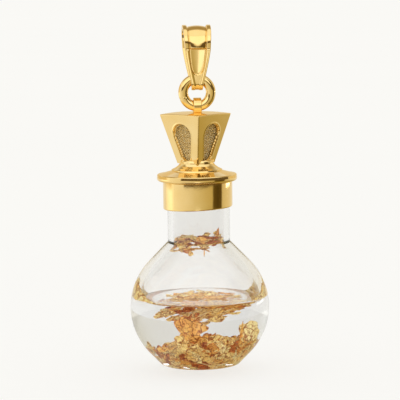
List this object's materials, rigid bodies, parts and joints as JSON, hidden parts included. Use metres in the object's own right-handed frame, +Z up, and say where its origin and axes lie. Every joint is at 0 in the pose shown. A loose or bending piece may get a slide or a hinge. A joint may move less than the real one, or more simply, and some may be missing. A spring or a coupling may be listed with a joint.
{
  "type": "bottle pendant",
  "caption": "Bottle pendant: a round glass flask of clear liquid and gold leaf, closed by a gold collar and a faceted stopper, hung from a tapered bail by a jump ring.",
  "frame": {"origin": "where a chain bears on the inside of the bail's top, on the pendant's axis", "axes": "+Z up along the pendant, X along the chain that the bail runs on, the front at -Y; the pendant hangs straight down"},
  "size_m": [0.0146, 0.0146, 0.0359],
  "materials": {
    "bail_gold": "polished yellow gold",
    "ring_gold": "polished yellow gold",
    "stopper_gold": "polished yellow gold, with grained pockets",
    "collar_gold": "polished yellow gold",
    "flask_glass": "clear polished glass",
    "clear_liquid": "clear liquid",
    "gold_leaf": "crumpled metal leaf"
  },
  "bodies": {
    "bail": {"bail": "bail_gold"},
    "ring": {"jump_ring": "ring_gold"},
    "drop": {"stopper": "stopper_gold", "collar": "collar_gold", "flask": "flask_glass", "liquid": "clear_liquid", "leaf_heap": "gold_leaf", "leaf_raft": "gold_leaf", "leaf_neck": "gold_leaf", "leaf_wall_left": "gold_leaf", "leaf_wall_right": "gold_leaf"}
  },
  "joints": [
    {"name": "ring_roll", "type": "hinge", "parent": "bail", "child": "ring", "pos_m": [0, 0, -0.00665], "axis": [0, 1, 0], "range_deg": [-75, 75]},
    {"name": "drop_swing", "type": "hinge", "parent": "ring", "child": "drop", "pos_m": [0, 0, -0.0081], "axis": [1, 0, 0], "range_deg": [-65, 65]}
  ]
}
